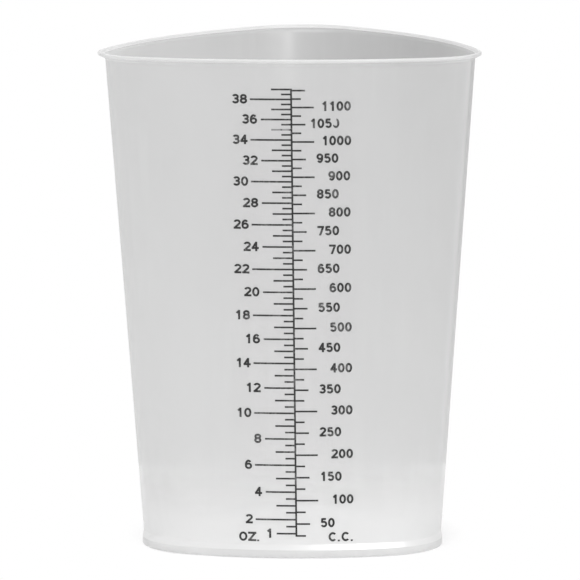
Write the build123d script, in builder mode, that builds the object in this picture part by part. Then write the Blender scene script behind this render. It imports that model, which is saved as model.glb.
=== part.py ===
from build123d import *
from math import cos, pi, radians, sin, tan
import os

# Three-cornered resin mixing cup: one thin moulded cup with a flared pouring lip,
# and the ounce and cubic centimetre scale that is printed on its front side.
# The origin is on the cup's axis, in the plane that the cup stands on.
# The printed side faces -Y and one pouring corner points to +Y.

# The cup's outside form. A reach is the distance from the axis to the middle of a side.
# A bulge is how much further from the axis the corners are than the sides.
CUP_HEIGHT = 160.8
BASE_REACH = 41.0
BASE_BULGE = 11.0
RIM_REACH = 50.5
RIM_BULGE = 14.0
SIDE_BOW_DEGREES = 18.3  # half of the angle that a bowed side turns through
WALL = 1.2

# The foot ring and the floor.
FOOT_HEIGHT = 2.6
FOOT_PROUD = 0.7
FOOT_FLARE = 1.8
FOOT_LAND = 2.4
FOOT_EDGE = 0.45
FOOT_ROOT = 2.0
RECESS_DEPTH = 1.9
RECESS_ROOT = 0.8
FLOOR_THICKNESS = 1.6
FLOOR_ROOT = 2.5
GATE_RADIUS = 2.2
GATE_DROP = 0.5

# The flared lip, wider at the corners, where it pours.
LIP_DROP = 2.3
LIP_BAND = 0.95
LIP_SIDE_OVERHANG = 0.5
LIP_CORNER_OVERHANG = 2.8
LIP_LAND = 1.05
LIP_EDGE = 0.35
LIP_ROOT = 1.0

# The printed scale. Each mark's height comes from the level of its volume inside the cup.
CUBIC_CENTIMETRE_EDGE = 10.0
CUBIC_CENTIMETRES_PER_OUNCE = 29.5735
CUBIC_CENTIMETRES_PER_MARK = 25
CUBIC_CENTIMETRE_MARKS = 46
FIRST_OUNCE = 1
LAST_OUNCE = 39
INK_THICKNESS = 0.08
PRINT_OFFSET = 2.42
PRINT_DROP = 0.2  # how much the whole scale was printed too low
PRINT_LEAN_DEGREES = 0.3
PRINT_MARGIN = 5.0
SPINE_WIDTH = 0.58
TICK_THICKNESS = 0.54
HALF_OUNCE_TICK = 3.2
ODD_OUNCE_TICK = 6.3
SHORT_EVEN_OUNCE_TICK = 9.65
LONG_EVEN_OUNCE_TICK = 13.0
PLAIN_CC_TICK = 3.05
FIFTY_CC_TICK = 4.4
HUNDRED_CC_TICK = 7.1

# The lettering, drawn with a pen of one width. A start is measured from the spine.
NUMERAL_HEIGHT = 3.05
OUNCE_DIGIT_WIDTH = 2.3
CC_DIGIT_WIDTH = 2.12
CAPITAL_WIDTH = 2.65
CHARACTER_GAP = 0.25
POINT_GAP = 0.55
PEN = 0.66
OUNCE_NUMERAL_LIFT = 0.1
CC_NUMERAL_LIFT = 0.4
LONG_TICK_GAP = 0.9
SHORT_TICK_GAP = 1.15
FIFTY_START = 7.75
HUNDRED_START = 11.4
LONG_NUMBER_SHIFT = 1.95
UNIT_CLEARANCE = 0.95
OUNCE_UNIT_START = 18.4
CC_UNIT_START = 10.25

# Strokes of each character. Ovals give the centre's height, the half width and the half
# height as shares of the pen's reach in the character's cell, then start and turn in degrees.
OVAL_SHARES = {
    "0": [(0, 1, 1, 0, 360)],
    "2": [(0.48, 1, 0.52, -38, 205)],
    "3": [(0.53, 0.92, 0.47, -90, 250), (-0.47, 1, 0.53, -160, 250)],
    "5": [(-0.38, 1, 0.62, -155, 298)],
    "6": [(-0.4, 1, 0.6, 0, 360), (0, 1, 1, 42, 138)],
    "8": [(0.53, 0.9, 0.47, 0, 360), (-0.47, 1, 0.53, 0, 360)],
    "9": [(0.4, 1, 0.6, 0, 360), (0, 1, 1, 222, 138)],
    "O": [(0, 1, 1, 0, 360)],
    "C": [(0, 1, 1, 42, 276)],
}
# Straight strokes, from point to point, as shares of the same reach. The cell trims them.
LINE_SHARES = {
    "1": [((0.25, -1.5), (0.25, 1.5)), ((0.25, 1.07), (-0.75, 0.45))],
    "2": [((0.788, 0.16), (-1, -1)), ((-1.5, -1), (1.5, -1))],
    "3": [((-0.35, 0.06), (0.1, 0.06))],
    "4": [((0.4, -1.5), (0.4, 1.5)), ((-1.5, -0.42), (1.5, -0.42)), ((0.4, 1.1), (-1.06, -0.42))],
    "5": [((-0.75, 1), (0.9, 1)), ((-0.72, 1.18), (-0.86, -0.02))],
    "6": [((-1, 0), (-1, -0.4))],
    "7": [((-1.5, 1), (1.5, 1)), ((1.05, 1), (-0.42, -1.5))],
    "9": [((1, 0), (1, 0.4))],
    "Z": [((-1.5, 1), (1.5, 1)), ((-1.5, -1), (1.5, -1)), ((0.93, 1), (-0.93, -1))],
    ".": [((0, -1.5), (0, -0.82))],
}

# Worked out from the sizes above.
FLOOR_HEIGHT = RECESS_DEPTH + FLOOR_THICKNESS
FLARE_TOP = FOOT_HEIGHT + FOOT_FLARE
LIP_START = CUP_HEIGHT - LIP_DROP
LIP_UNDERSIDE = CUP_HEIGHT - LIP_BAND
INNER_LIP_START = LIP_START + WALL / 2
SIDES = 3
SIDE_TURN = 360 / SIDES
BOW = radians(SIDE_BOW_DEGREES)
HALF_SIDE_SINE = sin(pi / SIDES)
BULGE_SHARE = 1 / 2 - HALF_SIDE_SINE * tan(BOW / 2)
LEVEL_TOLERANCE = min(FOOT_EDGE, LIP_EDGE) / 10
CUBIC_CENTIMETRE = CUBIC_CENTIMETRE_EDGE**3
OUNCE = CUBIC_CENTIMETRE * CUBIC_CENTIMETRES_PER_OUNCE
PRINT_TOP = LIP_START - PRINT_MARGIN
UNIT_HEIGHT = FLARE_TOP + UNIT_CLEARANCE + NUMERAL_HEIGHT / 2
PRINT_PLANE = Plane.XZ.offset(RIM_REACH + LIP_SIDE_OVERHANG)


def body_reach(height):
    """Reach of the tapered wall's outside at a height."""
    return BASE_REACH + (RIM_REACH - BASE_REACH) * height / CUP_HEIGHT


def body_bulge(height):
    """Bulge of the tapered wall at a height."""
    return BASE_BULGE + (RIM_BULGE - BASE_BULGE) * height / CUP_HEIGHT


def plan_radii(reach, bulge):
    """The corner centres' offset, the corner radius and the side radius of a plan."""
    corner_offset = bulge / BULGE_SHARE
    corner_radius = reach + bulge - corner_offset
    side_radius = corner_offset * HALF_SIDE_SINE / sin(BOW) + corner_radius
    return corner_offset, corner_radius, side_radius


def plan(height, reach, bulge):
    """A rounded three-sided plan at a height: three bowed sides and three corner arcs."""
    corner_offset, corner_radius, side_radius = plan_radii(reach, bulge)
    side_end_x = side_radius * sin(BOW)
    side_end_y = side_radius - reach - side_radius * cos(BOW)
    side = [Vector(-side_end_x, side_end_y), Vector(0, -reach), Vector(side_end_x, side_end_y)]
    corner = Vector(0, -(reach + bulge)).rotate(Axis.Z, SIDE_TURN / 2)
    with BuildSketch(Plane.XY.offset(height)) as drawing:
        with BuildLine():
            for index in range(SIDES):
                turn = index * SIDE_TURN
                start, middle, end = [point.rotate(Axis.Z, turn) for point in side]
                next_start = side[0].rotate(Axis.Z, turn + SIDE_TURN)
                ThreePointArc(start, middle, end)
                ThreePointArc(end, corner.rotate(Axis.Z, turn), next_start)
        make_face()
    return drawing.sketch


def body_plan(height, growth):
    """The tapered wall's plan at a height, grown outwards all round."""
    return plan(height, body_reach(height) + growth, body_bulge(height))


def inside_area(height):
    """Area of the liquid's surface: the curved triangle through the corner centres and its border."""
    corner_offset, corner_radius, side_radius = plan_radii(body_reach(height) - WALL, body_bulge(height))
    core_radius = side_radius - corner_radius
    triangle = SIDES * corner_offset**2 * HALF_SIDE_SINE / 2
    segments = SIDES * core_radius**2 * (2 * BOW - sin(2 * BOW)) / 2
    border = SIDES * 2 * BOW * core_radius * corner_radius
    return triangle + segments + border + pi * corner_radius**2


def held_volume(height):
    """Volume that the cup holds up to a height. The area is quadratic in height, so this is exact."""
    middle = (FLOOR_HEIGHT + height) / 2
    mean_area = (inside_area(FLOOR_HEIGHT) + 4 * inside_area(middle) + inside_area(height)) / 6
    return mean_area * (height - FLOOR_HEIGHT)


def fill_height(volume):
    """Height of the liquid's surface when the cup holds a volume, found by halving."""
    low = FLOOR_HEIGHT
    high = 2 * CUP_HEIGHT
    while high - low > LEVEL_TOLERANCE / 100:
        middle = (low + high) / 2
        if held_volume(middle) < volume:
            low = middle
        else:
            high = middle
    return (low + high) / 2


def spine_place(height):
    """Sideways place of the leaning scale's spine at a height."""
    return PRINT_OFFSET - (height - CUP_HEIGHT / 2) * tan(radians(PRINT_LEAN_DEGREES))


def level_edges(builder, height):
    """Edges that lie level at a height."""
    level = builder.edges().filter_by_position(Axis.Z, height - LEVEL_TOLERANCE, height + LEVEL_TOLERANCE)
    return level.filter_by(lambda edge: edge.bounding_box().size.Z < LEVEL_TOLERANCE)


def cell_width(character, digit_width):
    """Width of a character's cell."""
    if character == ".":
        return PEN
    return digit_width if character.isdigit() else CAPITAL_WIDTH


def cell_pitch(character, digit_width):
    """Distance from a character's start to the next one's."""
    gap = POINT_GAP if character == "." else CHARACTER_GAP
    return cell_width(character, digit_width) + gap


def text_width(text, digit_width):
    before = sum(cell_pitch(character, digit_width) for character in text[:-1])
    return before + cell_width(text[-1], digit_width)


def character_face(character, digit_width):
    """One character, drawn with the pen about the middle of its cell."""
    width = cell_width(character, digit_width)
    pen_x = (width - PEN) / 2
    pen_y = (NUMERAL_HEIGHT - PEN) / 2
    ovals = [
        EllipticalCenterArc((0, centre * pen_y), wide * pen_x, high * pen_y, start_angle=start, arc_size=turn)
        for centre, wide, high, start, turn in OVAL_SHARES.get(character, [])
    ]
    lines = [
        Polyline(*[(across * pen_x, up * pen_y) for across, up in points])
        for points in LINE_SHARES.get(character, [])
    ]
    with BuildSketch() as drawing:
        for stroke in ovals + lines:
            trace(stroke, line_width=PEN)
        Rectangle(width, NUMERAL_HEIGHT, mode=Mode.INTERSECT)
    return drawing.sketch


characters = {
    digit_width: {character: character_face(character, digit_width) for character in "0123456789OZC."}
    for digit_width in (OUNCE_DIGIT_WIDTH, CC_DIGIT_WIDTH)
}


def lettering(text, start, height, digit_width):
    """A line of characters on the print's plane, from a start beside the spine."""
    with BuildSketch(PRINT_PLANE) as drawing:
        for index, character in enumerate(text):
            before = sum(cell_pitch(earlier, digit_width) for earlier in text[:index])
            middle = start + before + cell_width(character, digit_width) / 2
            with Locations((spine_place(height) + middle, height)):
                add(characters[digit_width][character])
    return drawing.sketch


def spine_face(low, high):
    """The scale's leaning spine on the print's plane."""
    with BuildSketch(PRINT_PLANE) as drawing:
        with BuildLine():
            Polyline(
                (spine_place(low) - SPINE_WIDTH / 2, low),
                (spine_place(low) + SPINE_WIDTH / 2, low),
                (spine_place(high) + SPINE_WIDTH / 2, high),
                (spine_place(high) - SPINE_WIDTH / 2, high),
                close=True,
            )
        make_face()
    return drawing.sketch


def tick_faces(ticks, side, spine):
    """Ticks of given heights and lengths on one side of the spine, which they meet edge to edge."""
    with BuildSketch(PRINT_PLANE) as drawing:
        for height, length in ticks:
            with Locations((spine_place(height) + side * length / 2, height)):
                Rectangle(length, TICK_THICKNESS)
        add(spine, mode=Mode.SUBTRACT)
    return drawing.sketch


def ounce_tick_length(half_ounces):
    """Whole ounces have longer ticks than halves, and every second even ounce the longest."""
    if half_ounces % 2:
        return HALF_OUNCE_TICK
    if half_ounces % 4:
        return ODD_OUNCE_TICK
    return LONG_EVEN_OUNCE_TICK if half_ounces % 8 else SHORT_EVEN_OUNCE_TICK


def cc_tick_length(mark):
    """Every second mark is a fifty and every fourth a hundred."""
    if mark % 2:
        return PLAIN_CC_TICK
    return FIFTY_CC_TICK if mark % 4 else HUNDRED_CC_TICK


def write_piece(piece, name):
    """Labels a finished piece and writes it under its own name."""
    piece.label = name
    export_step(piece, f"parts/{name}.step")


os.makedirs("parts", exist_ok=True)

# The moulded cup: the outside form, less its inside and the recess under its floor.
lip_reach = RIM_REACH + LIP_SIDE_OVERHANG
lip_bulge = RIM_BULGE + LIP_CORNER_OVERHANG - LIP_SIDE_OVERHANG
foot_reach = BASE_REACH + FOOT_PROUD
outside = [
    plan(0, foot_reach, BASE_BULGE),
    plan(FOOT_HEIGHT, foot_reach, BASE_BULGE),
    body_plan(FLARE_TOP, 0),
    body_plan(LIP_START, 0),
    plan(LIP_UNDERSIDE, lip_reach, lip_bulge),
    plan(CUP_HEIGHT, lip_reach, lip_bulge),
]
inside = [
    body_plan(FLOOR_HEIGHT, -WALL),
    body_plan(INNER_LIP_START, -WALL),
    plan(CUP_HEIGHT, lip_reach - LIP_LAND, lip_bulge),
]
with BuildPart() as cup_body:
    loft(outside, ruled=True)
    loft(inside, ruled=True, mode=Mode.SUBTRACT)
    extrude(plan(0, foot_reach - FOOT_LAND, BASE_BULGE), amount=RECESS_DEPTH, mode=Mode.SUBTRACT)
    fillet(level_edges(cup_body, FLOOR_HEIGHT), FLOOR_ROOT)
    fillet(level_edges(cup_body, RECESS_DEPTH), RECESS_ROOT)
    fillet(level_edges(cup_body, FLARE_TOP), FOOT_ROOT)
    fillet(level_edges(cup_body, FOOT_HEIGHT), FOOT_EDGE)
    fillet(level_edges(cup_body, 0), FOOT_EDGE)
    fillet(level_edges(cup_body, LIP_START), LIP_ROOT)
    fillet(level_edges(cup_body, INNER_LIP_START), LIP_ROOT)
    fillet(level_edges(cup_body, LIP_UNDERSIDE), LIP_EDGE)
    fillet(level_edges(cup_body, CUP_HEIGHT), LIP_EDGE)
    # The gate's stub, left in the recess where the plastic came in.
    with BuildSketch(Plane.XY.offset(RECESS_DEPTH)):
        Circle(GATE_RADIUS)
    extrude(amount=-GATE_DROP)
write_piece(cup_body.part, "cup_body")

# The ink lies on the wall's outside as a thin film. Every mark is cut from this film.
with BuildPart() as ink_film:
    loft([body_plan(FLARE_TOP, INK_THICKNESS), body_plan(LIP_START, INK_THICKNESS)], ruled=True)
    loft([body_plan(FLARE_TOP, 0), body_plan(LIP_START, 0)], ruled=True, mode=Mode.SUBTRACT)


def print_mark(name, drawing):
    """A mark in the shape of a drawing, where the drawing falls on the front of the film."""
    with BuildPart() as mark:
        extrude(drawing, amount=-RIM_REACH)
        add(ink_film.part, mode=Mode.INTERSECT)
    write_piece(mark.part, name)


# Marks whose level would come too near the lip are left out.
half_ounces = range(2 * FIRST_OUNCE, 2 * LAST_OUNCE + 1)
ounce_marks = {half: fill_height(half * OUNCE / 2) - PRINT_DROP for half in half_ounces}
ounce_marks = {half: height for half, height in ounce_marks.items() if height < PRINT_TOP}
cc_volume = CUBIC_CENTIMETRE * CUBIC_CENTIMETRES_PER_MARK
cc_steps = range(1, CUBIC_CENTIMETRE_MARKS + 1)
cc_marks = {mark: fill_height(mark * cc_volume) - PRINT_DROP for mark in cc_steps}
cc_marks = {mark: height for mark, height in cc_marks.items() if height < PRINT_TOP}

levels = [*ounce_marks.values(), *cc_marks.values()]
spine_top = max(levels) + TICK_THICKNESS / 2
spine = spine_face(min(levels) - TICK_THICKNESS / 2, spine_top)
ounce_ticks = [(height, ounce_tick_length(half)) for half, height in ounce_marks.items()]
cc_ticks = [(height, cc_tick_length(mark)) for mark, height in cc_marks.items()]
print_mark("scale_spine", spine)
print_mark("ounce_ticks", tick_faces(ounce_ticks, -1, spine))
print_mark("cc_ticks", tick_faces(cc_ticks, 1, spine))
print_mark("ounce_unit", lettering("OZ.", -OUNCE_UNIT_START, UNIT_HEIGHT, OUNCE_DIGIT_WIDTH))
print_mark("cc_unit", lettering("C.C.", CC_UNIT_START, UNIT_HEIGHT, CC_DIGIT_WIDTH))

# A numeral that would reach above the spine's top is left out.
highest_numeral = spine_top - NUMERAL_HEIGHT / 2

# Numerals of the first ounce and of every even ounce, set against the ends of their ticks.
for half, height in ounce_marks.items():
    place = height + OUNCE_NUMERAL_LIFT
    if place < highest_numeral and (half == 2 * FIRST_OUNCE or half % 4 == 0):
        text = str(half // 2)
        gap = LONG_TICK_GAP if half % 8 == 4 else SHORT_TICK_GAP
        start = -(ounce_tick_length(half) + gap + text_width(text, OUNCE_DIGIT_WIDTH))
        print_mark(f"ounce_numeral_{text}", lettering(text, start, place, OUNCE_DIGIT_WIDTH))

# Numerals of every fifty cubic centimetres. Hundreds stand further out than fifties.
for mark, height in cc_marks.items():
    place = height + CC_NUMERAL_LIFT
    if place < highest_numeral and mark % 2 == 0:
        text = str(mark * CUBIC_CENTIMETRES_PER_MARK)
        start = FIFTY_START if mark % 4 else HUNDRED_START
        if len(text) > 3:
            start -= LONG_NUMBER_SHIFT
        print_mark(f"cc_numeral_{text}", lettering(text, start, place, CC_DIGIT_WIDTH))

print("cubic centimetres to the brim:", held_volume(CUP_HEIGHT) / CUBIC_CENTIMETRE)
print("height of the last mark:", max(levels))
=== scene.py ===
import math

import bmesh
import bpy
from bpy.props import FloatProperty, FloatVectorProperty, IntProperty, PointerProperty
from bpy.types import Operator, Panel, PropertyGroup
from mathutils import Matrix, Vector


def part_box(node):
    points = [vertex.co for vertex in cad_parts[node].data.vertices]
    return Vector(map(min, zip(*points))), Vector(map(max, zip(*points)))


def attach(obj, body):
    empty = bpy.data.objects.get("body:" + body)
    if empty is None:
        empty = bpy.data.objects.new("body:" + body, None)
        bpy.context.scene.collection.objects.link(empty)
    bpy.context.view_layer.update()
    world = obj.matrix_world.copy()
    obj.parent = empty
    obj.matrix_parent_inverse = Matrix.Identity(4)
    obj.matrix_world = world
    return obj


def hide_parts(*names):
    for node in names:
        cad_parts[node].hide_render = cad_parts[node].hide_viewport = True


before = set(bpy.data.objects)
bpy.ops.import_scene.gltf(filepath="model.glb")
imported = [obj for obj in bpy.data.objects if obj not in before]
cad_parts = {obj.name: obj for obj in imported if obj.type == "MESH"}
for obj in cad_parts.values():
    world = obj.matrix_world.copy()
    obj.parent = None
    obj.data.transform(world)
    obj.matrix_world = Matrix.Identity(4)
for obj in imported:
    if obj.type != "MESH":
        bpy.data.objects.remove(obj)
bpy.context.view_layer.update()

bl_info = {
    "name": "Resin Mixing Cup",
    "version": (1, 0, 0),
    "blender": (4, 5, 0),
    "location": "View3D > Sidebar > Mixing Cup",
    "description": "Dresses the three-cornered mixing cup: milky moulding, printed scale and studio",
    "category": "Object",
}

CUP_NODE = "cup_body"
SIDES = 3
CUP_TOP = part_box(CUP_NODE)[1][2]

# The four finishes of the moulding, in the order of its material slots.
WALL_FINISH, LIP_FINISH, FLOOR_FINISH, FOOT_FINISH = range(4)

# How the moulding is divided where no setting says so, and the most of an edge that a rounding takes.
GATE_RINGS = (0.3, 0.7)
RECESS_STEPS = 7
FLOOR_STEPS = 8
LIP_INSIDE_STEPS = 2
ROUNDING_LIMIT = 0.48

# Noise lies mostly between these two values. A pair of levels below is where an effect starts and where
# it is full.
NOISE_RANGE = (0.3, 0.7)

# Plastic: how far the clouds and the flow marks are drawn out up the wall, the size of the patches that
# the marks come in, and how much finer than the clouds the grain is.
CLOUD_DRAW = 0.4
FLOW_DRAW = 0.07
FLOW_LEVELS = (0.42, 0.72)
FLOW_PATCH = 0.12
FLOW_PATCH_LEVELS = (0.40, 0.62)
GRAIN_FINENESS = 14.0
GRAIN_DULLNESS = 0.1
PEEL_STRENGTH = 0.6
PLASTIC_IOR = 1.49
EDGE_ON_LEVELS = (0.45, 0.95)
PALEST = 0.97
ROOT_SHINE_START = 0.8

# Ink: how many specks go to a metre, how high they stand, and how they thin the ink and fray its border.
INK_GRAIN = 1500.0
INK_GRAIN_SHARE = 0.4
INK_PATCHES = 260.0
INK_THIN_LEVELS = (0.48, 0.66)
INK_BUMP = 0.00002
INK_BUMP_STRENGTH = 0.5
INK_DULLNESS_SPREAD = 0.08
FRAY_GRAIN = 2600.0
FRAY_DEPTH = 0.22
FRAY_LEVELS = (0.85, 1.1)

# The two worn places of the print: the last zero of 1050, of which a hook is left, and one faint tick.
ZERO_FROM_RIGHT = 0.00155
ZERO_FROM_TOP = 0.00105
ZERO_HALF = (0.0008, 0.00125)
ZERO_WEAR = 1.0
TICK_FROM_RIGHT = 0.0045
TICK_HALF = (0.0035, 0.0006)
TICK_WEAR = 0.65

# Distances from the axis between which the table changes: to its border colour, to plain white beside
# the cup, and, seen through the plastic, from a painted white glow over the cup's shadow to its lit grey
# paint.
TABLE_BORDER = (0.03, 0.125)
TABLE_WHITE = (0.036, 0.058)
TABLE_PAINTED_GLOW = (0.06, 0.15)
TABLE_GRAIN = 900.0
TABLE_SPECK = 0.02
TABLE_DULLNESS = 0.7
TABLE_FACES = 16

# Slopes of the lines of sight, from below the foot to above the rim, over which the studio wall fades
# and slants.
FADE_SIGHT = (-0.21, -0.05)
SLANT_SIGHT = (-0.2, -0.1)

# Each lamp: its name, the setting that holds its power, its width, its height and its place.
LAMPS = (
    ("key_lamp", "key_power", 0.8, 0.8, (1.05, -1.1, 0.75)),
    ("top_lamp", "top_power", 0.9, 0.9, (-0.1, -0.3, 1.3)),
    ("front_lamp", "front_power", 0.15, 0.4, (0.71, -1.76, 0.5)),
)
LAMP_AIM = (0, 0, 0.08)
SENSOR_WIDTH = 36.0


# Settings.


class CupFormSettings(PropertyGroup):
    """Sizes of the moulded cup, as in the part's source."""

    height: FloatProperty(
        name="Height",
        description="From the table to the rim",
        default=CUP_TOP,
        unit="LENGTH",
    )
    base_reach: FloatProperty(
        name="Base Reach",
        description="Axis to a side's middle at the table",
        default=0.0410,
        unit="LENGTH",
    )
    base_bulge: FloatProperty(
        name="Base Bulge",
        description="How much further out the corners are at the table",
        default=0.0110,
        unit="LENGTH",
    )
    rim_reach: FloatProperty(
        name="Rim Reach",
        description="Axis to a side's middle at the rim",
        default=0.0505,
        unit="LENGTH",
    )
    rim_bulge: FloatProperty(
        name="Rim Bulge",
        description="How much further out the corners are at the rim",
        default=0.0140,
        unit="LENGTH",
    )
    side_bow: FloatProperty(
        name="Side Bow",
        description="Half of the angle that a side turns through",
        default=math.radians(18.3),
        subtype="ANGLE",
    )
    wall: FloatProperty(
        name="Wall",
        description="Thickness of the wall",
        default=0.0012,
        unit="LENGTH",
    )
    foot_height: FloatProperty(
        name="Foot Height",
        description="Height of the foot ring's upright band",
        default=0.0026,
        unit="LENGTH",
    )
    foot_proud: FloatProperty(
        name="Foot Proud",
        description="How far the foot ring stands out of the wall",
        default=0.0007,
        unit="LENGTH",
    )
    foot_flare: FloatProperty(
        name="Foot Flare",
        description="Height of the slope from the foot ring to the wall",
        default=0.0018,
        unit="LENGTH",
    )
    foot_land: FloatProperty(
        name="Foot Land",
        description="Width of the ring that touches the table",
        default=0.0024,
        unit="LENGTH",
    )
    foot_edge: FloatProperty(
        name="Foot Edge",
        description="Rounding of the foot ring's edges",
        default=0.00045,
        unit="LENGTH",
    )
    foot_root: FloatProperty(
        name="Foot Root",
        description="Rounding between slope and wall",
        default=0.0020,
        unit="LENGTH",
    )
    recess_depth: FloatProperty(
        name="Recess Depth",
        description="How far the floor is held off the table",
        default=0.0019,
        unit="LENGTH",
    )
    recess_root: FloatProperty(
        name="Recess Root",
        description="Rounding inside the recess",
        default=0.0008,
        unit="LENGTH",
    )
    floor_thickness: FloatProperty(
        name="Floor Thickness",
        description="Thickness of the cup's floor",
        default=0.0016,
        unit="LENGTH",
    )
    floor_root: FloatProperty(
        name="Floor Root",
        description="Rounding between floor and wall inside",
        default=0.0025,
        unit="LENGTH",
    )
    gate_radius: FloatProperty(
        name="Gate Radius",
        description="Radius of the gate's stub",
        default=0.0022,
        unit="LENGTH",
    )
    gate_drop: FloatProperty(
        name="Gate Drop",
        description="How far the gate's stub stands down",
        default=0.0005,
        unit="LENGTH",
    )
    gate_edge: FloatProperty(
        name="Gate Edge",
        description="Rounding of the gate's stub",
        default=0.00015,
        unit="LENGTH",
    )
    lip_drop: FloatProperty(
        name="Lip Drop",
        description="Height of the flared lip",
        default=0.0023,
        unit="LENGTH",
    )
    lip_band: FloatProperty(
        name="Lip Band",
        description="Height of the lip's upright edge",
        default=0.00095,
        unit="LENGTH",
    )
    lip_side_overhang: FloatProperty(
        name="Side Overhang",
        description="How far the lip stands out at the sides",
        default=0.0005,
        unit="LENGTH",
    )
    lip_corner_overhang: FloatProperty(
        name="Corner Overhang",
        description="How far the lip stands out at the corners",
        default=0.0028,
        unit="LENGTH",
    )
    lip_land: FloatProperty(
        name="Lip Land",
        description="Width of the lip's flat top",
        default=0.00105,
        unit="LENGTH",
    )
    lip_edge: FloatProperty(
        name="Lip Edge",
        description="Rounding of the lip's edges",
        default=0.00035,
        unit="LENGTH",
    )
    lip_root: FloatProperty(
        name="Lip Root",
        description="Rounding between wall and lip",
        default=0.0010,
        unit="LENGTH",
    )
    side_steps: IntProperty(
        name="Side Steps",
        description="Faces along each bowed side",
        default=44,
        min=8,
    )
    corner_steps: IntProperty(
        name="Corner Steps",
        description="Faces round each corner",
        default=36,
        min=8,
    )
    wall_steps: IntProperty(name="Wall Steps", description="Faces up the wall", default=26, min=2)
    edge_steps: IntProperty(
        name="Edge Steps",
        description="Faces across each rounding",
        default=6,
        min=2,
    )


class CupPlasticSettings(PropertyGroup):
    """Finish of the milky plastic, with painted light on the wall's root and painted shade on the foot
    ring.
    """

    body_colour: FloatVectorProperty(
        name="Body Colour",
        description="Colour of the light that the plastic sends back",
        default=(0.90, 0.90, 0.90),
        subtype="COLOR",
        min=0,
        max=1,
    )
    glow_colour: FloatVectorProperty(
        name="Glow Colour",
        description="Colour of the light that spreads through the plastic",
        default=(0.93, 0.93, 0.93),
        subtype="COLOR",
        min=0,
        max=1,
    )
    glow: FloatProperty(
        name="Glow",
        description="Share of the scattered light that goes through the wall",
        default=0.55,
        subtype="FACTOR",
        min=0,
        max=1,
    )
    clearness: FloatProperty(
        name="Clearness",
        description="Share of the light that passes a face of the wall unscattered, seen head on",
        default=0.72,
        subtype="FACTOR",
        min=0,
        max=1,
    )
    edge_clearness: FloatProperty(
        name="Edge Clearness",
        description="The same share where the wall is seen edge on",
        default=0.52,
        subtype="FACTOR",
        min=0,
        max=1,
    )
    thick_clearness: FloatProperty(
        name="Thick Clearness",
        description="Share of the light that passes a face of the thick lip and foot ring",
        default=0.25,
        subtype="FACTOR",
        min=0,
        max=1,
    )
    floor_clearness: FloatProperty(
        name="Floor Clearness",
        description="Share of the light that passes a face of the floor",
        default=0.93,
        subtype="FACTOR",
        min=0,
        max=1,
    )
    fog_low: FloatProperty(
        name="Fog Low",
        description="Height up to which the wall looks foggy, as it gets thicker to the floor",
        default=0.010,
        unit="LENGTH",
    )
    # The fog's top is also where the painted light on the lower wall has faded out.
    fog_and_painted_light_top: FloatProperty(
        name="Fog High",
        description="Height where that fog has gone",
        default=0.030,
        unit="LENGTH",
    )
    roughness: FloatProperty(
        name="Roughness",
        description="How dull the moulded surface is",
        default=0.34,
        subtype="FACTOR",
        min=0,
        max=1,
    )
    shine: FloatProperty(
        name="Shine",
        description="Share of the light that the skin mirrors",
        default=0.05,
        subtype="FACTOR",
        min=0,
        max=1,
    )
    lip_colour: FloatVectorProperty(
        name="Lip Colour",
        description="Colour of the light that the lip sends back",
        default=(0.97, 0.97, 0.97),
        subtype="COLOR",
        min=0,
        max=1,
    )
    # Painted shade: the foot ring is drawn darker than the wall, as shaded near the table.
    painted_shade_foot_colour: FloatVectorProperty(
        name="Foot Colour",
        description="Colour of the light that the foot ring sends back",
        default=(0.78, 0.78, 0.78),
        subtype="COLOR",
        min=0,
        max=1,
    )
    # Painted light: the wall's root just above the foot ring is drawn in this paler colour, fading into
    # the wall's colour further up, as lit from above and by the table.
    painted_root_light_colour: FloatVectorProperty(
        name="Root Colour",
        description="Colour of the light that the wall's root sends back, just above the foot ring",
        default=(0.98, 0.98, 0.98),
        subtype="COLOR",
        min=0,
        max=1,
    )
    root_shine: FloatProperty(
        name="Root Shine",
        description="Share of the light that the polished root mirrors",
        default=0.45,
        subtype="FACTOR",
        min=0,
        max=1,
    )
    root_height: FloatProperty(
        name="Root Height",
        description="Height up to which the wall's root reaches",
        default=0.0052,
        unit="LENGTH",
    )
    cloud_size: FloatProperty(
        name="Cloud Size",
        description="Size of the cloudy patches in the plastic",
        default=0.022,
        unit="LENGTH",
    )
    cloud_depth: FloatProperty(
        name="Cloud Depth",
        description="How much the cloudy patches differ",
        default=0.07,
        subtype="FACTOR",
        min=0,
        max=1,
    )
    flow_size: FloatProperty(
        name="Flow Size",
        description="Width of the flow marks that run up the wall",
        default=0.004,
        unit="LENGTH",
    )
    flow_depth: FloatProperty(
        name="Flow Depth",
        description="How much the flow marks show",
        default=0.035,
        subtype="FACTOR",
        min=0,
        max=1,
    )
    peel_depth: FloatProperty(
        name="Peel Depth",
        description="Height of the fine unevenness of the skin",
        default=0.00002,
        unit="LENGTH",
    )


class CupPrintSettings(PropertyGroup):
    """Finish of the printed scale."""

    ink_colour: FloatVectorProperty(
        name="Ink Colour",
        description="Colour of the printed ink",
        default=(0.010, 0.010, 0.010),
        subtype="COLOR",
        min=0,
        max=1,
    )
    thin_colour: FloatVectorProperty(
        name="Thin Ink Colour",
        description="Colour where the ink is thin",
        default=(0.11, 0.11, 0.11),
        subtype="COLOR",
        min=0,
        max=1,
    )
    roughness: FloatProperty(
        name="Roughness",
        description="How dull the ink is",
        default=0.48,
        subtype="FACTOR",
        min=0,
        max=1,
    )
    wear: FloatProperty(
        name="Wear",
        description="How much of the ink has gone from the worn places",
        default=1.0,
        subtype="FACTOR",
        min=0,
        max=1,
    )
    faint_tick_height: FloatProperty(
        name="Faint Tick Height",
        description="Height of the tick that is partly worn away",
        default=0.1386,
        unit="LENGTH",
    )


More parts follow.
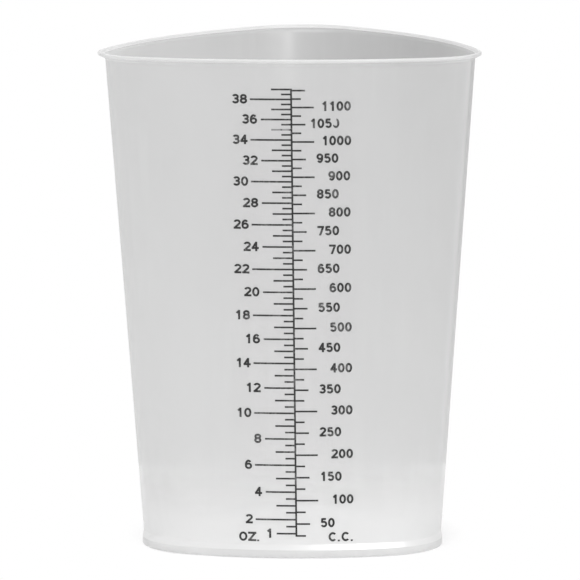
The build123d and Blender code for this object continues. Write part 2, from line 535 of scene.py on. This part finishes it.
class CupStudioSettings(PropertyGroup):
    """Table, light and camera."""

    table_colour: FloatVectorProperty(
        name="Table Colour",
        description="Colour of the table top near the cup",
        default=(0.97, 0.97, 0.97),
        subtype="COLOR",
        min=0,
        max=1,
    )
    border_colour: FloatVectorProperty(
        name="Border Colour",
        description="Colour of the table top at its border",
        default=(0.96, 0.96, 0.96),
        subtype="COLOR",
        min=0,
        max=1,
    )
    # Painted light: the table near the cup glows white where it is seen through the plastic, over the
    # cup's shadow.
    painted_glow_share: FloatProperty(
        name="Behind White",
        description="How plainly white the table near the cup shows through the plastic",
        default=0.65,
        min=0,
        max=1,
    )
    table_half: FloatProperty(
        name="Table Half Size",
        description="From the cup's axis to the table's edge",
        default=0.128,
        unit="LENGTH",
    )
    table_gap: FloatProperty(
        name="Table Gap",
        description="How far the table top lies under the foot ring",
        default=0.0001,
        unit="LENGTH",
    )
    table_turn: FloatProperty(
        name="Table Turn",
        description="How the table is turned about the upright axis",
        default=0.0582,
        subtype="ANGLE",
    )
    wall_grey: FloatProperty(
        name="Wall Grey",
        description="How bright the studio's wall shows through the plastic",
        default=0.48,
        min=0,
        max=1,
    )
    wall_fade: FloatProperty(
        name="Wall Fade",
        description="How fast the studio's wall gets darker upwards",
        default=2.9,
        min=0,
    )
    wall_slant: FloatProperty(
        name="Wall Slant",
        description="How much of that fade runs to the right at the cup's top",
        default=1.7,
        min=0,
    )
    surround: FloatProperty(
        name="Surround",
        description="Light that comes from all round",
        default=0.63,
        min=0,
    )
    surround_slant: FloatProperty(
        name="Surround Slant",
        description="How much more of it comes from the left than from the right",
        default=0.21,
        min=0,
    )
    key_power: FloatProperty(
        name="Key Power",
        description="Power of the large lamp in front at the right",
        default=4.2,
        min=0,
        unit="POWER",
    )
    top_power: FloatProperty(
        name="Top Power",
        description="Power of the lamp above",
        default=8.0,
        min=0,
        unit="POWER",
    )
    front_power: FloatProperty(
        name="Front Power",
        description="Power of the narrow lamp between the key lamp and the camera",
        default=5.0,
        min=0,
        unit="POWER",
    )
    view_distance: FloatProperty(
        name="View Distance",
        description="Camera to the cup's middle",
        default=1.7,
        unit="LENGTH",
    )
    view_rise: FloatProperty(
        name="View Rise",
        description="Angle that the camera looks down by",
        default=0.1455,
        subtype="ANGLE",
    )
    view_turn: FloatProperty(
        name="View Turn",
        description="Camera's turn about the upright axis",
        default=0.0582,
        subtype="ANGLE",
    )
    view_roll: FloatProperty(
        name="View Roll",
        description="Camera's tilt to the side",
        default=0.0034,
        subtype="ANGLE",
    )
    view_side: FloatProperty(
        name="View Side",
        description="Aim's place to the side",
        default=-0.00139,
        unit="LENGTH",
    )
    view_height: FloatProperty(
        name="View Height",
        description="Aim's height",
        default=0.08054,
        unit="LENGTH",
    )
    view_lens: FloatProperty(name="Lens", description="Focal length", default=324.54, unit="CAMERA")


# Shapes.


def plan_point(turn, reach, bulge, bow):
    """The point of a rounded three-sided plan whose outward direction is turn, as in the source."""
    share = 1 / 2 - math.sin(math.pi / SIDES) * math.tan(bow / 2)
    offset = bulge / share
    corner_radius = reach + bulge - offset
    side_radius = offset * math.sin(math.pi / SIDES) / math.sin(bow) + corner_radius
    step = math.tau / SIDES
    side = round((turn + math.pi / 2) / step)
    from_side = turn + math.pi / 2 - side * step
    outward = Vector((math.cos(turn), math.sin(turn)))
    if abs(from_side) <= bow:
        middle = side * step - math.pi / 2
        inward = Vector((math.cos(middle), math.sin(middle))) * (reach - side_radius)
        return inward + outward * side_radius
    corner = side * step - math.pi / 2 + math.copysign(step / 2, from_side)
    return Vector((math.cos(corner), math.sin(corner))) * offset + outward * corner_radius


def plan_turns(bow, side_steps, corner_steps):
    """Outward directions all round the plan, close together at the corners."""
    step = math.tau / SIDES
    turns = []
    for side in range(SIDES):
        middle = side * step - math.pi / 2
        turns += [middle - bow + 2 * bow * i / side_steps for i in range(side_steps)]
        turns += [middle + bow + (step - 2 * bow) * i / corner_steps for i in range(corner_steps)]
    return turns


def rounded(corners, steps):
    """A path through corners, each with its rounding radius, or 0 for a plain point, and its finish."""
    path = []
    for i, (place, radius, finish) in enumerate(corners):
        if radius == 0:
            path.append((place, finish))
            continue
        back = corners[i - 1][0] - place
        ahead = corners[i + 1][0] - place
        half = back.angle(ahead) / 2
        longest = ROUNDING_LIMIT * min(back.length, ahead.length)
        reach = min(radius / math.tan(half), longest)
        back.normalize()
        ahead.normalize()
        middle = place + (back + ahead).normalized() * (reach / math.cos(half))
        start = place + back * reach - middle
        end = place + ahead * reach - middle
        arc = [start.slerp(end, s / steps) * start.length for s in range(steps + 1)]
        path += [(middle + spoke, finish) for spoke in arc]
    return path


def section(form, turn):
    """The cup's section in one outward direction.

    It runs from the middle of the underside, round the rim, to the middle of the floor inside.
    """

    def at(height, reach, bulge):
        place = plan_point(turn, reach, bulge, form.side_bow)
        return Vector((place.x, place.y, height))

    def body(height, growth):
        share = height / form.height
        reach = form.base_reach + (form.rim_reach - form.base_reach) * share
        bulge = form.base_bulge + (form.rim_bulge - form.base_bulge) * share
        return at(height, reach + growth, bulge)

    def gate(radius, height):
        return Vector((math.cos(turn) * radius, math.sin(turn) * radius, height))

    foot_reach = form.base_reach + form.foot_proud
    lip_reach = form.rim_reach + form.lip_side_overhang
    lip_bulge = form.rim_bulge + form.lip_corner_overhang - form.lip_side_overhang
    lip_start = form.height - form.lip_drop
    flare_top = form.foot_height + form.foot_flare
    stub_end = form.recess_depth - form.gate_drop
    recess_edge = at(form.recess_depth, foot_reach - form.foot_land, form.base_bulge)
    stub_root = gate(form.gate_radius, form.recess_depth)
    floor_height = form.recess_depth + form.floor_thickness
    floor_edge = body(floor_height, -form.wall)
    floor_middle = Vector((0, 0, floor_height))
    wall_low = body(flare_top, 0)
    wall_high = body(lip_start, 0)
    inner_top = at(form.height, lip_reach - form.lip_land, lip_bulge)
    inner_high = body(lip_start + form.wall / 2, -form.wall)
    steps = form.wall_steps

    def between(start, end, count, finish):
        return [(start.lerp(end, i / count), 0, finish) for i in range(1, count)]

    floor, lip, foot, wall = FLOOR_FINISH, LIP_FINISH, FOOT_FINISH, WALL_FINISH
    corners = [
        *((gate(form.gate_radius * share, stub_end), 0, floor) for share in GATE_RINGS),
        (gate(form.gate_radius, stub_end), form.gate_edge, floor),
        (stub_root, form.gate_edge, floor),
        *between(stub_root, recess_edge, RECESS_STEPS, floor),
        (recess_edge, form.recess_root, floor),
        (at(0, foot_reach - form.foot_land, form.base_bulge), form.foot_edge, foot),
        (at(0, foot_reach, form.base_bulge), form.foot_edge, foot),
        (at(form.foot_height, foot_reach, form.base_bulge), form.foot_edge, wall),
        (wall_low, form.foot_root, wall),
        *between(wall_low, wall_high, steps, wall),
        (wall_high, form.lip_root, wall),
        (at(form.height - form.lip_band, lip_reach, lip_bulge), form.lip_edge, lip),
        (at(form.height, lip_reach, lip_bulge), form.lip_edge, lip),
        (inner_top, form.lip_edge, lip),
        *between(inner_top, inner_high, LIP_INSIDE_STEPS, wall),
        (inner_high, form.lip_root, wall),
        *between(inner_high, floor_edge, steps, wall),
        (floor_edge, form.floor_root, floor),
        *between(floor_edge, floor_middle, FLOOR_STEPS, floor),
    ]
    return rounded(corners, form.edge_steps)


def cup_mesh(form):
    """The moulding as one closed skin.

    Sections stand all round, and a middle point closes the floor from below and from above.
    """
    turns = plan_turns(form.side_bow, form.side_steps, form.corner_steps)
    sections = [section(form, turn) for turn in turns]
    rings = len(sections[0])
    skin = bmesh.new()
    grid = [[skin.verts.new(place) for place, finish in path] for path in sections]
    finishes = [finish for place, finish in sections[0]]
    under = skin.verts.new((0, 0, form.recess_depth - form.gate_drop))
    over = skin.verts.new((0, 0, form.recess_depth + form.floor_thickness))
    for i, path in enumerate(grid):
        beside = grid[(i + 1) % len(grid)]
        skin.faces.new((under, beside[0], path[0])).material_index = FLOOR_FINISH
        skin.faces.new((over, path[-1], beside[-1])).material_index = FLOOR_FINISH
        for ring in range(rings - 1):
            face = skin.faces.new((path[ring], beside[ring], beside[ring + 1], path[ring + 1]))
            face.material_index = finishes[ring]
    bmesh.ops.recalc_face_normals(skin, faces=skin.faces)
    for face in skin.faces:
        face.smooth = True
    mesh = bpy.data.meshes.new("moulded_cup")
    skin.to_mesh(mesh)
    skin.free()
    return mesh


# Finishes.


def new_group(name, inputs, outputs):
    """An empty shader node group with named sockets: (name, kind, default) in, (name, kind) out."""
    tree = bpy.data.node_groups.new(name, "ShaderNodeTree")
    for label, kind, default in inputs:
        socket = tree.interface.new_socket(name=label, in_out="INPUT", socket_type=kind)
        socket.default_value = default
    for label, kind in outputs:
        tree.interface.new_socket(name=label, in_out="OUTPUT", socket_type=kind)
    return tree, tree.nodes.new("NodeGroupInput"), tree.nodes.new("NodeGroupOutput")


class Wiring:
    """Short ways to add and join shader nodes in one tree."""

    def __init__(self, tree):
        self.tree = tree

    def node(self, kind, **settings):
        made = self.tree.nodes.new(kind)
        for name, value in settings.items():
            setattr(made, name, value)
        return made

    def put(self, socket, value):
        """Joins another node's output to a socket, or sets a plain number or colour on it."""
        if isinstance(value, bpy.types.NodeSocket):
            self.tree.links.new(value, socket)
        else:
            socket.default_value = value

    def math(self, operation, a, b=0.0, clamp=False):
        made = self.node("ShaderNodeMath", operation=operation, use_clamp=clamp)
        self.put(made.inputs[0], a)
        self.put(made.inputs[1], b)
        return made.outputs[0]

    def spread(self, kind, value, low, high, to_low, to_high):
        made = self.node("ShaderNodeMapRange", interpolation_type=kind)
        for socket, given in zip(made.inputs, (value, low, high, to_low, to_high)):
            self.put(socket, given)
        return made.outputs[0]

    def smooth(self, value, low, high, to_low=0.0, to_high=1.0):
        """Spreads low to high over to_low to to_high, with soft ends."""
        return self.spread("SMOOTHSTEP", value, low, high, to_low, to_high)

    def linear(self, value, low, high, to_low=0.0, to_high=1.0):
        """Spreads low to high over to_low to to_high evenly."""
        return self.spread("LINEAR", value, low, high, to_low, to_high)

    def noise(self, place, scale, detail=3.0, roughness=0.5):
        made = self.node("ShaderNodeTexNoise")
        self.put(made.inputs["Vector"], place)
        self.put(made.inputs["Scale"], scale)
        self.put(made.inputs["Detail"], detail)
        self.put(made.inputs["Roughness"], roughness)
        return made.outputs["Fac"]

    def blend(self, share, a, b):
        made = self.node("ShaderNodeMix", data_type="RGBA")
        self.put(made.inputs["Factor"], share)
        self.put(made.inputs["A"], a)
        self.put(made.inputs["B"], b)
        return made.outputs["Result"]

    def stretched(self, place, scale):
        made = self.node("ShaderNodeMapping")
        self.put(made.inputs["Vector"], place)
        made.inputs["Scale"].default_value = scale
        return made.outputs["Vector"]

    def place(self):
        return self.node("ShaderNodeTexCoord").outputs["Object"]

    def group(self, tree, **values):
        """Places a shared group. A blank in a socket's name is written as an underscore."""
        made = self.node("ShaderNodeGroup", node_tree=tree)
        for name, value in values.items():
            self.put(made.inputs[name.replace("_", " ")], value)
        return made


def colour4(colour):
    """A colour with full opacity, as a shader's socket takes it."""
    return (*colour, 1.0)


def cloud_group():
    """Cloudy patches of moulded plastic, drawn out up the wall, and a finer grain."""
    tree, given, out = new_group(
        "Milky Clouds",
        [("Place", "NodeSocketVector", (0, 0, 0)), ("Size", "NodeSocketFloat", 0.02)],
        [("Cloud", "NodeSocketFloat"), ("Grain", "NodeSocketFloat")],
    )
    w = Wiring(tree)
    scale = w.math("DIVIDE", 1.0, given.outputs["Size"])
    drawn = w.stretched(given.outputs["Place"], (1.0, 1.0, CLOUD_DRAW))
    cloud = w.noise(drawn, scale, 4.0, 0.55)
    grain = w.noise(given.outputs["Place"], w.math("MULTIPLY", scale, GRAIN_FINENESS), 2.0, 0.6)
    w.put(out.inputs["Cloud"], w.smooth(cloud, *NOISE_RANGE))
    w.put(out.inputs["Grain"], grain)
    return tree


def flow_group():
    """Soft, narrow streaks that run up the wall, where the plastic flowed in from the gate."""
    tree, given, out = new_group(
        "Flow Marks",
        [("Place", "NodeSocketVector", (0, 0, 0)), ("Width", "NodeSocketFloat", 0.004)],
        [("Flow", "NodeSocketFloat")],
    )
    w = Wiring(tree)
    drawn = w.stretched(given.outputs["Place"], (1.0, 1.0, FLOW_DRAW))
    streaks = w.noise(drawn, w.math("DIVIDE", 1.0, given.outputs["Width"]), 2.0, 0.5)
    wide = w.math("DIVIDE", FLOW_PATCH, given.outputs["Width"])
    patches = w.smooth(w.noise(given.outputs["Place"], wide, 1.0), *FLOW_PATCH_LEVELS)
    marks = w.math("MULTIPLY", w.smooth(streaks, *FLOW_LEVELS), patches)
    w.put(out.inputs["Flow"], marks)
    return tree


def worn_group():
    """How much ink is left round a worn place: gone in the middle, ragged at its border."""
    tree, given, out = new_group(
        "Worn Print",
        [
            ("Place", "NodeSocketVector", (0, 0, 0)),
            ("Middle", "NodeSocketVector", (0, 0, 0)),
            ("Half Width", "NodeSocketFloat", 0.001),
            ("Half Height", "NodeSocketFloat", 0.001),
            ("Wear", "NodeSocketFloat", 1.0),
        ],
        [("Left", "NodeSocketFloat")],
    )
    w = Wiring(tree)
    away = w.node("ShaderNodeVectorMath", operation="SUBTRACT")
    w.put(away.inputs[0], given.outputs["Place"])
    w.put(away.inputs[1], given.outputs["Middle"])
    split = w.node("ShaderNodeSeparateXYZ")
    w.put(split.inputs[0], away.outputs[0])
    across = w.math("DIVIDE", w.math("ABSOLUTE", split.outputs["X"]), given.outputs["Half Width"])
    up = w.math("DIVIDE", w.math("ABSOLUTE", split.outputs["Z"]), given.outputs["Half Height"])
    far = w.math("MAXIMUM", across, up)
    specks = w.noise(given.outputs["Place"], FRAY_GRAIN, 3.0, 0.6)
    frayed = w.math("ADD", far, w.linear(specks, *NOISE_RANGE, -FRAY_DEPTH, FRAY_DEPTH))
    gone = w.math("MULTIPLY", w.smooth(frayed, *FRAY_LEVELS, 1.0, 0.0), given.outputs["Wear"])
    w.put(out.inputs["Left"], w.math("SUBTRACT", 1.0, gone))
    return tree


def plastic_material(name, look, groups, body_colour, clearness, edge_clearness, fog_and_painted_light=False):
    """Natural milky plastic: part of the light goes straight through each face, the rest scatters."""
    material = bpy.data.materials.new(name)
    material.use_nodes = True
    tree = material.node_tree
    tree.nodes.clear()
    w = Wiring(tree)
    place = w.place()
    clouds = w.group(groups["clouds"], Place=place, Size=look.cloud_size)
    flow = w.group(groups["flow"], Place=place, Width=look.flow_size).outputs["Flow"]
    cloud = clouds.outputs["Cloud"]
    grain = clouds.outputs["Grain"]

    split = w.node("ShaderNodeSeparateXYZ")
    w.put(split.inputs[0], place)
    height = split.outputs["Z"]

    skin = w.node("ShaderNodeBsdfPrincipled")
    darker = colour4([c * (1 - look.cloud_depth) for c in body_colour])
    clouded = w.blend(cloud, darker, colour4(body_colour))
    paler = colour4([min(c * (1 + look.flow_depth), PALEST) for c in body_colour])
    colour = w.blend(flow, clouded, paler)
    # Painted light: the lower wall is drawn paler towards the foot ring, in the root colour, as lit from
    # above and by the table.
    if fog_and_painted_light:
        root = w.smooth(height, look.root_height, look.fog_and_painted_light_top)
        colour = w.blend(root, colour4(look.painted_root_light_colour), colour)
    w.put(skin.inputs["Base Color"], colour)
    smoothest = look.roughness - GRAIN_DULLNESS / 2
    rough = w.math("ADD", smoothest, w.math("MULTIPLY", grain, GRAIN_DULLNESS))
    rough = w.math("ADD", rough, w.math("MULTIPLY", flow, look.flow_depth))
    w.put(skin.inputs["Roughness"], rough)
    skin.inputs["IOR"].default_value = PLASTIC_IOR
    peel = w.node("ShaderNodeBump")
    peel.inputs["Strength"].default_value = PEEL_STRENGTH
    peel.inputs["Distance"].default_value = look.peel_depth
    w.put(peel.inputs["Height"], grain)
    w.put(skin.inputs["Normal"], peel.outputs["Normal"])

    glow = w.node("ShaderNodeBsdfTranslucent")
    glow.inputs["Color"].default_value = colour4(look.glow_colour)
    scattered = w.node("ShaderNodeMixShader")
    scattered.inputs["Fac"].default_value = look.glow
    w.put(scattered.inputs[1], skin.outputs[0])
    w.put(scattered.inputs[2], glow.outputs[0])

    clear = w.node("ShaderNodeBsdfTransparent")
    facing = w.node("ShaderNodeLayerWeight")
    facing.inputs["Blend"].default_value = 0.5
    share = w.smooth(facing.outputs["Facing"], *EDGE_ON_LEVELS, clearness, edge_clearness)
    if fog_and_painted_light:
        share = w.smooth(height, look.fog_low, look.fog_and_painted_light_top, look.thick_clearness, share)
    whole = w.node("ShaderNodeMixShader")
    w.put(whole.inputs["Fac"], share)
    w.put(whole.inputs[1], scattered.outputs[0])
    w.put(whole.inputs[2], clear.outputs[0])
    mirror = w.node("ShaderNodeBsdfGlossy")
    w.put(mirror.inputs["Roughness"], rough)
    w.put(mirror.inputs["Normal"], peel.outputs["Normal"])
    shining = w.node("ShaderNodeMixShader")
    shining.inputs["Fac"].default_value = look.shine
    if fog_and_painted_light:
        start = ROOT_SHINE_START * look.root_height
        mirrored = w.smooth(height, start, look.root_height, look.root_shine, look.shine)
        w.put(shining.inputs["Fac"], mirrored)
    w.put(shining.inputs[1], whole.outputs[0])
    w.put(shining.inputs[2], mirror.outputs[0])
    out = w.node("ShaderNodeOutputMaterial")
    w.put(out.inputs["Surface"], shining.outputs[0])
    return material


def ink_material(name, look, groups, worn=None):
    """Screen-printed ink, a little uneven, worn at a place given by its middle, half size and wear."""
    material = bpy.data.materials.new(name)
    material.use_nodes = True
    tree = material.node_tree
    tree.nodes.clear()
    w = Wiring(tree)
    place = w.place()
    grain = w.noise(place, INK_GRAIN, 3.0, 0.6)
    patches = w.noise(place, INK_PATCHES, 2.0, 0.5)
    ink = w.node("ShaderNodeBsdfPrincipled")
    fine = w.math("MULTIPLY", grain, INK_GRAIN_SHARE)
    coarse = w.math("MULTIPLY", patches, 1 - INK_GRAIN_SHARE)
    thin = w.smooth(w.math("ADD", fine, coarse), *INK_THIN_LEVELS)
    colours = (colour4(look.ink_colour), colour4(look.thin_colour))
    w.put(ink.inputs["Base Color"], w.blend(thin, *colours))
    shinier = look.roughness - INK_DULLNESS_SPREAD
    duller = look.roughness + INK_DULLNESS_SPREAD
    w.put(ink.inputs["Roughness"], w.linear(patches, *NOISE_RANGE, shinier, duller))
    bump = w.node("ShaderNodeBump")
    bump.inputs["Strength"].default_value = INK_BUMP_STRENGTH
    bump.inputs["Distance"].default_value = INK_BUMP
    w.put(bump.inputs["Height"], grain)
    w.put(ink.inputs["Normal"], bump.outputs["Normal"])
    if worn is not None:
        middle, half, wear = worn
        across, up = half
        size = {"Half_Width": across, "Half_Height": up}
        left = w.group(groups["worn"], Place=place, Middle=middle, Wear=wear * look.wear, **size)
        w.put(ink.inputs["Alpha"], left.outputs["Left"])
    out = w.node("ShaderNodeOutputMaterial")
    w.put(out.inputs["Surface"], ink.outputs[0])
    return material


def shared_groups():
    """The shader node groups, made once."""
    made = {
        "clouds": ("Milky Clouds", cloud_group),
        "flow": ("Flow Marks", flow_group),
        "worn": ("Worn Print", worn_group),
    }
    return {key: bpy.data.node_groups.get(name) or make() for key, (name, make) in made.items()}


# Operators.


class MIXCUP_OT_moulding(Operator):
    """Builds the moulded cup in milky plastic in place of the plain solid"""

    bl_idname = "mixcup.moulding"
    bl_label = "Moulded Cup"

    def execute(self, context):
        form = context.scene.mixcup_form
        cup = bpy.data.objects.new("moulded_cup", cup_mesh(form))
        context.scene.collection.objects.link(cup)
        look = context.scene.mixcup_plastic
        groups = shared_groups()
        for name, colour, clearness, edge_clearness, fog_and_painted_light in (
            ("milky_wall", look.body_colour, look.clearness, look.edge_clearness, True),
            ("milky_lip", look.lip_colour, look.thick_clearness, look.thick_clearness, False),
            ("milky_floor", look.body_colour, look.floor_clearness, look.floor_clearness, False),
            # The foot ring's darker colour is painted shade.
            ("milky_foot", look.painted_shade_foot_colour, look.thick_clearness, look.thick_clearness, False),
        ):
            shares = (clearness, edge_clearness)
            material = plastic_material(name, look, groups, colour, *shares, fog_and_painted_light)
            cup.data.materials.append(material)
        cup.modifiers.new("even_shading", "WEIGHTED_NORMAL")
        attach(cup, "root")
        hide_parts(CUP_NODE)
        return {"FINISHED"}


class MIXCUP_OT_print(Operator):
    """Gives the printed scale its ink"""

    bl_idname = "mixcup.print"
    bl_label = "Printed Scale"

    def execute(self, context):
        look = context.scene.mixcup_print
        groups = shared_groups()
        plain = ink_material("black_ink", look, groups)
        low, high = (Vector(v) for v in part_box("cc_numeral_1050"))
        zero = Vector((high.x - ZERO_FROM_RIGHT, (low.y + high.y) / 2, high.z - ZERO_FROM_TOP))
        low, high = (Vector(v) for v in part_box("ounce_ticks"))
        tick = Vector((high.x - TICK_FROM_RIGHT, (low.y + high.y) / 2, look.faint_tick_height))
        worn_zero = ink_material("black_ink_worn_zero", look, groups, (zero, ZERO_HALF, ZERO_WEAR))
        faint = ink_material("black_ink_faint_tick", look, groups, (tick, TICK_HALF, TICK_WEAR))
        special = {"cc_numeral_1050": worn_zero, "ounce_ticks": faint}
        for name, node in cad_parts.items():
            if name == CUP_NODE:
                continue
            node.data.materials.clear()
            node.data.materials.append(special.get(name, plain))
        return {"FINISHED"}


class MIXCUP_OT_studio(Operator):
    """Sets up the table, the light and the camera"""

    bl_idname = "mixcup.studio"
    bl_label = "Studio"

    def execute(self, context):
        studio = context.scene.mixcup_studio
        add_table(context, studio)
        add_surround(context, studio)
        add_lamps(context, studio)
        add_camera(context, studio)
        context.scene.view_settings.view_transform = "Standard"
        return {"FINISHED"}


def sight(w):
    """Two masks: for a ray seen straight or mirrored, and for one that passed the plastic."""
    path = w.node("ShaderNodeLightPath")
    passed = w.math("GREATER_THAN", path.outputs["Transparent Depth"], 0.5)
    seen = w.math("MULTIPLY", path.outputs["Is Camera Ray"], w.math("SUBTRACT", 1.0, passed))
    through = w.math("MULTIPLY", path.outputs["Is Camera Ray"], passed)
    spread = path.outputs["Is Diffuse Ray"]
    bent = w.math("SUBTRACT", path.outputs["Is Transmission Ray"], spread, clamp=True)
    plain = w.math("MAXIMUM", seen, w.math("MAXIMUM", path.outputs["Is Glossy Ray"], bent))
    return plain, through


def add_table(context, studio):
    """A pale table top, plain white to the camera away from the cup, with the cup's shadow near it,
    painted over with a white glow where seen through the plastic.
    """
    top = bmesh.new()
    faces = {"x_segments": TABLE_FACES, "y_segments": TABLE_FACES}
    bmesh.ops.create_grid(top, size=studio.table_half, **faces)
    turn = Matrix.Rotation(studio.table_turn, 3, "Z")
    bmesh.ops.rotate(top, verts=top.verts, cent=(0, 0, 0), matrix=turn)
    mesh = bpy.data.meshes.new("table_top")
    top.to_mesh(mesh)
    top.free()
    table = bpy.data.objects.new("table_top", mesh)
    table.location.z = -studio.table_gap
    context.scene.collection.objects.link(table)
    material = bpy.data.materials.new("table_white")
    material.use_nodes = True
    tree = material.node_tree
    tree.nodes.clear()
    w = Wiring(tree)
    place = w.place()
    paint = w.node("ShaderNodeBsdfPrincipled")
    distance = w.node("ShaderNodeVectorMath", operation="LENGTH")
    w.put(distance.inputs[0], place)
    away = distance.outputs["Value"]
    specks = w.noise(place, TABLE_GRAIN, 2.0)
    speck = w.linear(specks, *NOISE_RANGE, -TABLE_SPECK, TABLE_SPECK)
    outwards = w.math("ADD", w.smooth(away, *TABLE_BORDER), speck, clamp=True)
    colours = (colour4(studio.table_colour), colour4(studio.border_colour))
    w.put(paint.inputs["Base Color"], w.blend(outwards, *colours))
    paint.inputs["Roughness"].default_value = TABLE_DULLNESS
    white = w.node("ShaderNodeEmission")
    plain, through = sight(w)
    beside = w.math("MULTIPLY", plain, w.smooth(away, *TABLE_WHITE))
    # Painted light: seen through the plastic, the table near the cup glows white over the cup's shadow.
    painted_glow = w.math("MULTIPLY", through, w.smooth(away, *TABLE_PAINTED_GLOW, studio.painted_glow_share, 0.0))
    share = w.math("ADD", beside, painted_glow, clamp=True)
    mix = w.node("ShaderNodeMixShader")
    w.put(mix.inputs["Fac"], share)
    w.put(mix.inputs[1], paint.outputs[0])
    w.put(mix.inputs[2], white.outputs[0])
    from_below = w.node("ShaderNodeNewGeometry").outputs["Backfacing"]
    watched = w.node("ShaderNodeLightPath").outputs["Is Camera Ray"]
    opened = w.node("ShaderNodeMixShader")
    w.put(opened.inputs["Fac"], w.math("MULTIPLY", from_below, watched))
    w.put(opened.inputs[1], mix.outputs[0])
    w.put(opened.inputs[2], w.node("ShaderNodeBsdfTransparent").outputs[0])
    out = w.node("ShaderNodeOutputMaterial")
    w.put(out.inputs["Surface"], opened.outputs[0])
    mesh.materials.append(material)


def add_surround(context, studio):
    """Even light, plain white beside the cup, and a grey studio wall seen through the plastic."""
    world = bpy.data.worlds.new("studio")
    context.scene.world = world
    world.use_nodes = True
    tree = world.node_tree
    tree.nodes.clear()
    w = Wiring(tree)
    plain, through = sight(w)
    split = w.node("ShaderNodeSeparateXYZ")
    w.put(split.inputs[0], w.node("ShaderNodeTexCoord").outputs["Generated"])
    brighter = studio.surround + studio.surround_slant
    dimmer = studio.surround - studio.surround_slant
    round_about = w.linear(split.outputs["X"], -1.0, 1.0, brighter, dimmer)
    low, high = FADE_SIGHT
    rise = (high - low) / 2 * studio.wall_fade
    slant = w.linear(split.outputs["Z"], *SLANT_SIGHT, 0.0, studio.wall_slant)
    aside = w.math("MULTIPLY", w.math("ADD", split.outputs["X"], math.sin(studio.view_turn)), slant)
    slope = w.math("ADD", split.outputs["Z"], aside)
    wall = w.linear(slope, low, high, studio.wall_grey + rise, studio.wall_grey - rise)
    level = w.linear(through, 0.0, 1.0, round_about, wall)
    level = w.linear(plain, 0.0, 1.0, level, 1.0)
    back = w.node("ShaderNodeBackground")
    back.inputs["Color"].default_value = (1, 1, 1, 1)
    w.put(back.inputs["Strength"], level)
    out = w.node("ShaderNodeOutputWorld")
    w.put(out.inputs["Surface"], back.outputs[0])


def add_lamps(context, studio):
    """A large soft lamp in front at the right, one above, and a narrow one beside the camera."""
    for name, power, width, height, place in LAMPS:
        lamp = bpy.data.lights.new(name, "AREA")
        lamp.shape = "RECTANGLE"
        lamp.size = width
        lamp.size_y = height
        lamp.energy = getattr(studio, power)
        holder = bpy.data.objects.new(name, lamp)
        holder.location = place
        towards = Vector(LAMP_AIM) - Vector(place)
        holder.rotation_euler = towards.to_track_quat("-Z", "Y").to_euler()
        context.scene.collection.objects.link(holder)


def add_camera(context, studio):
    """The photograph's view."""
    turn = Matrix.Rotation(studio.view_turn, 3, "Z")
    rise = studio.view_rise
    aim = turn @ Vector((studio.view_side, 0, studio.view_height))
    forward = turn @ Vector((0, math.cos(rise), -math.sin(rise)))
    right = turn @ Vector((1, 0, 0))
    up = right.cross(forward)
    tilt = Matrix.Rotation(studio.view_roll, 3, forward)
    lens = bpy.data.cameras.new("photo_view")
    lens.lens = studio.view_lens
    lens.sensor_width = SENSOR_WIDTH
    lens.sensor_fit = "HORIZONTAL"
    camera = bpy.data.objects.new("photo_view", lens)
    axes = Matrix((tilt @ right, tilt @ up, -forward)).transposed()
    camera.matrix_world = Matrix.Translation(aim - forward * studio.view_distance) @ axes.to_4x4()
    context.scene.collection.objects.link(camera)
    context.scene.camera = camera


class MIXCUP_PT_sidebar(Panel):
    """Lists the steps and the settings that they use"""

    bl_idname = "MIXCUP_PT_sidebar"
    bl_label = "Mixing Cup"
    bl_space_type = "VIEW_3D"
    bl_region_type = "UI"
    bl_category = "Mixing Cup"

    def draw(self, context):
        layout = self.layout
        for operator in STEPS:
            layout.operator(operator.bl_idname)
        for holder in SETTINGS:
            box = layout.box()
            settings = getattr(context.scene, holder)
            for name in settings.bl_rna.properties.keys():
                if name not in ("rna_type", "name"):
                    box.prop(settings, name)


STEPS = (MIXCUP_OT_moulding, MIXCUP_OT_print, MIXCUP_OT_studio)
SETTINGS = {
    "mixcup_form": CupFormSettings,
    "mixcup_plastic": CupPlasticSettings,
    "mixcup_print": CupPrintSettings,
    "mixcup_studio": CupStudioSettings,
}
CLASSES = (*SETTINGS.values(), *STEPS, MIXCUP_PT_sidebar)


def register():
    """Makes the classes and the settings known to Blender."""
    for made in CLASSES:
        bpy.utils.register_class(made)
    for holder, group in SETTINGS.items():
        setattr(bpy.types.Scene, holder, PointerProperty(type=group))


def unregister():
    """Takes the settings and the classes out again."""
    for holder in SETTINGS:
        delattr(bpy.types.Scene, holder)
    for made in reversed(CLASSES):
        bpy.utils.unregister_class(made)


def main():
    """Builds everything in order."""
    register()
    bpy.ops.mixcup.moulding()
    bpy.ops.mixcup.print()
    bpy.ops.mixcup.studio()


if __name__ == "__main__":
    main()
